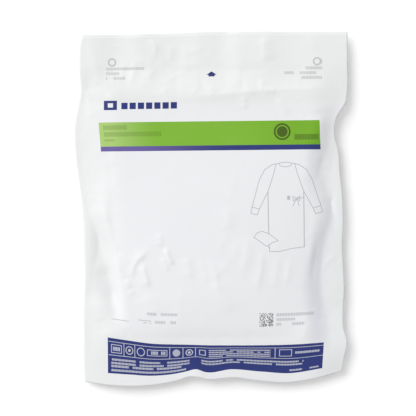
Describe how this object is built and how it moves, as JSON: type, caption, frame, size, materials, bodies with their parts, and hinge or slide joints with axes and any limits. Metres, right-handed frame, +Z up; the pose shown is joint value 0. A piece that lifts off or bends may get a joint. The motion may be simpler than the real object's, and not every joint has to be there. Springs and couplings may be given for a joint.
{
  "type": "sealed film packet with a folded surgical gown inside, lying flat",
  "caption": "Flat heat-sealed white film packet, swollen by the folded gown inside it, with two loose header flaps that are pulled apart to open it.",
  "frame": {"origin": "on the resting surface, under the middle of the packet", "axes": "+X to the packet's right as it is read, +Y along its length towards the header that is peeled open, +Z up out of the resting surface"},
  "size_m": [0.3117, 0.4043, 0.0262],
  "materials": {
    "front_film": "white film with a soft sheen, printed with plain green and navy bands",
    "back_film": "plain white film with a soft sheen",
    "gown_cloth": "matt blue nonwoven cloth"
  },
  "bodies": {
    "root": {"front_web": "front_film", "back_web": "back_film", "folded_gown": "gown_cloth"}
  },
  "joints": []
}
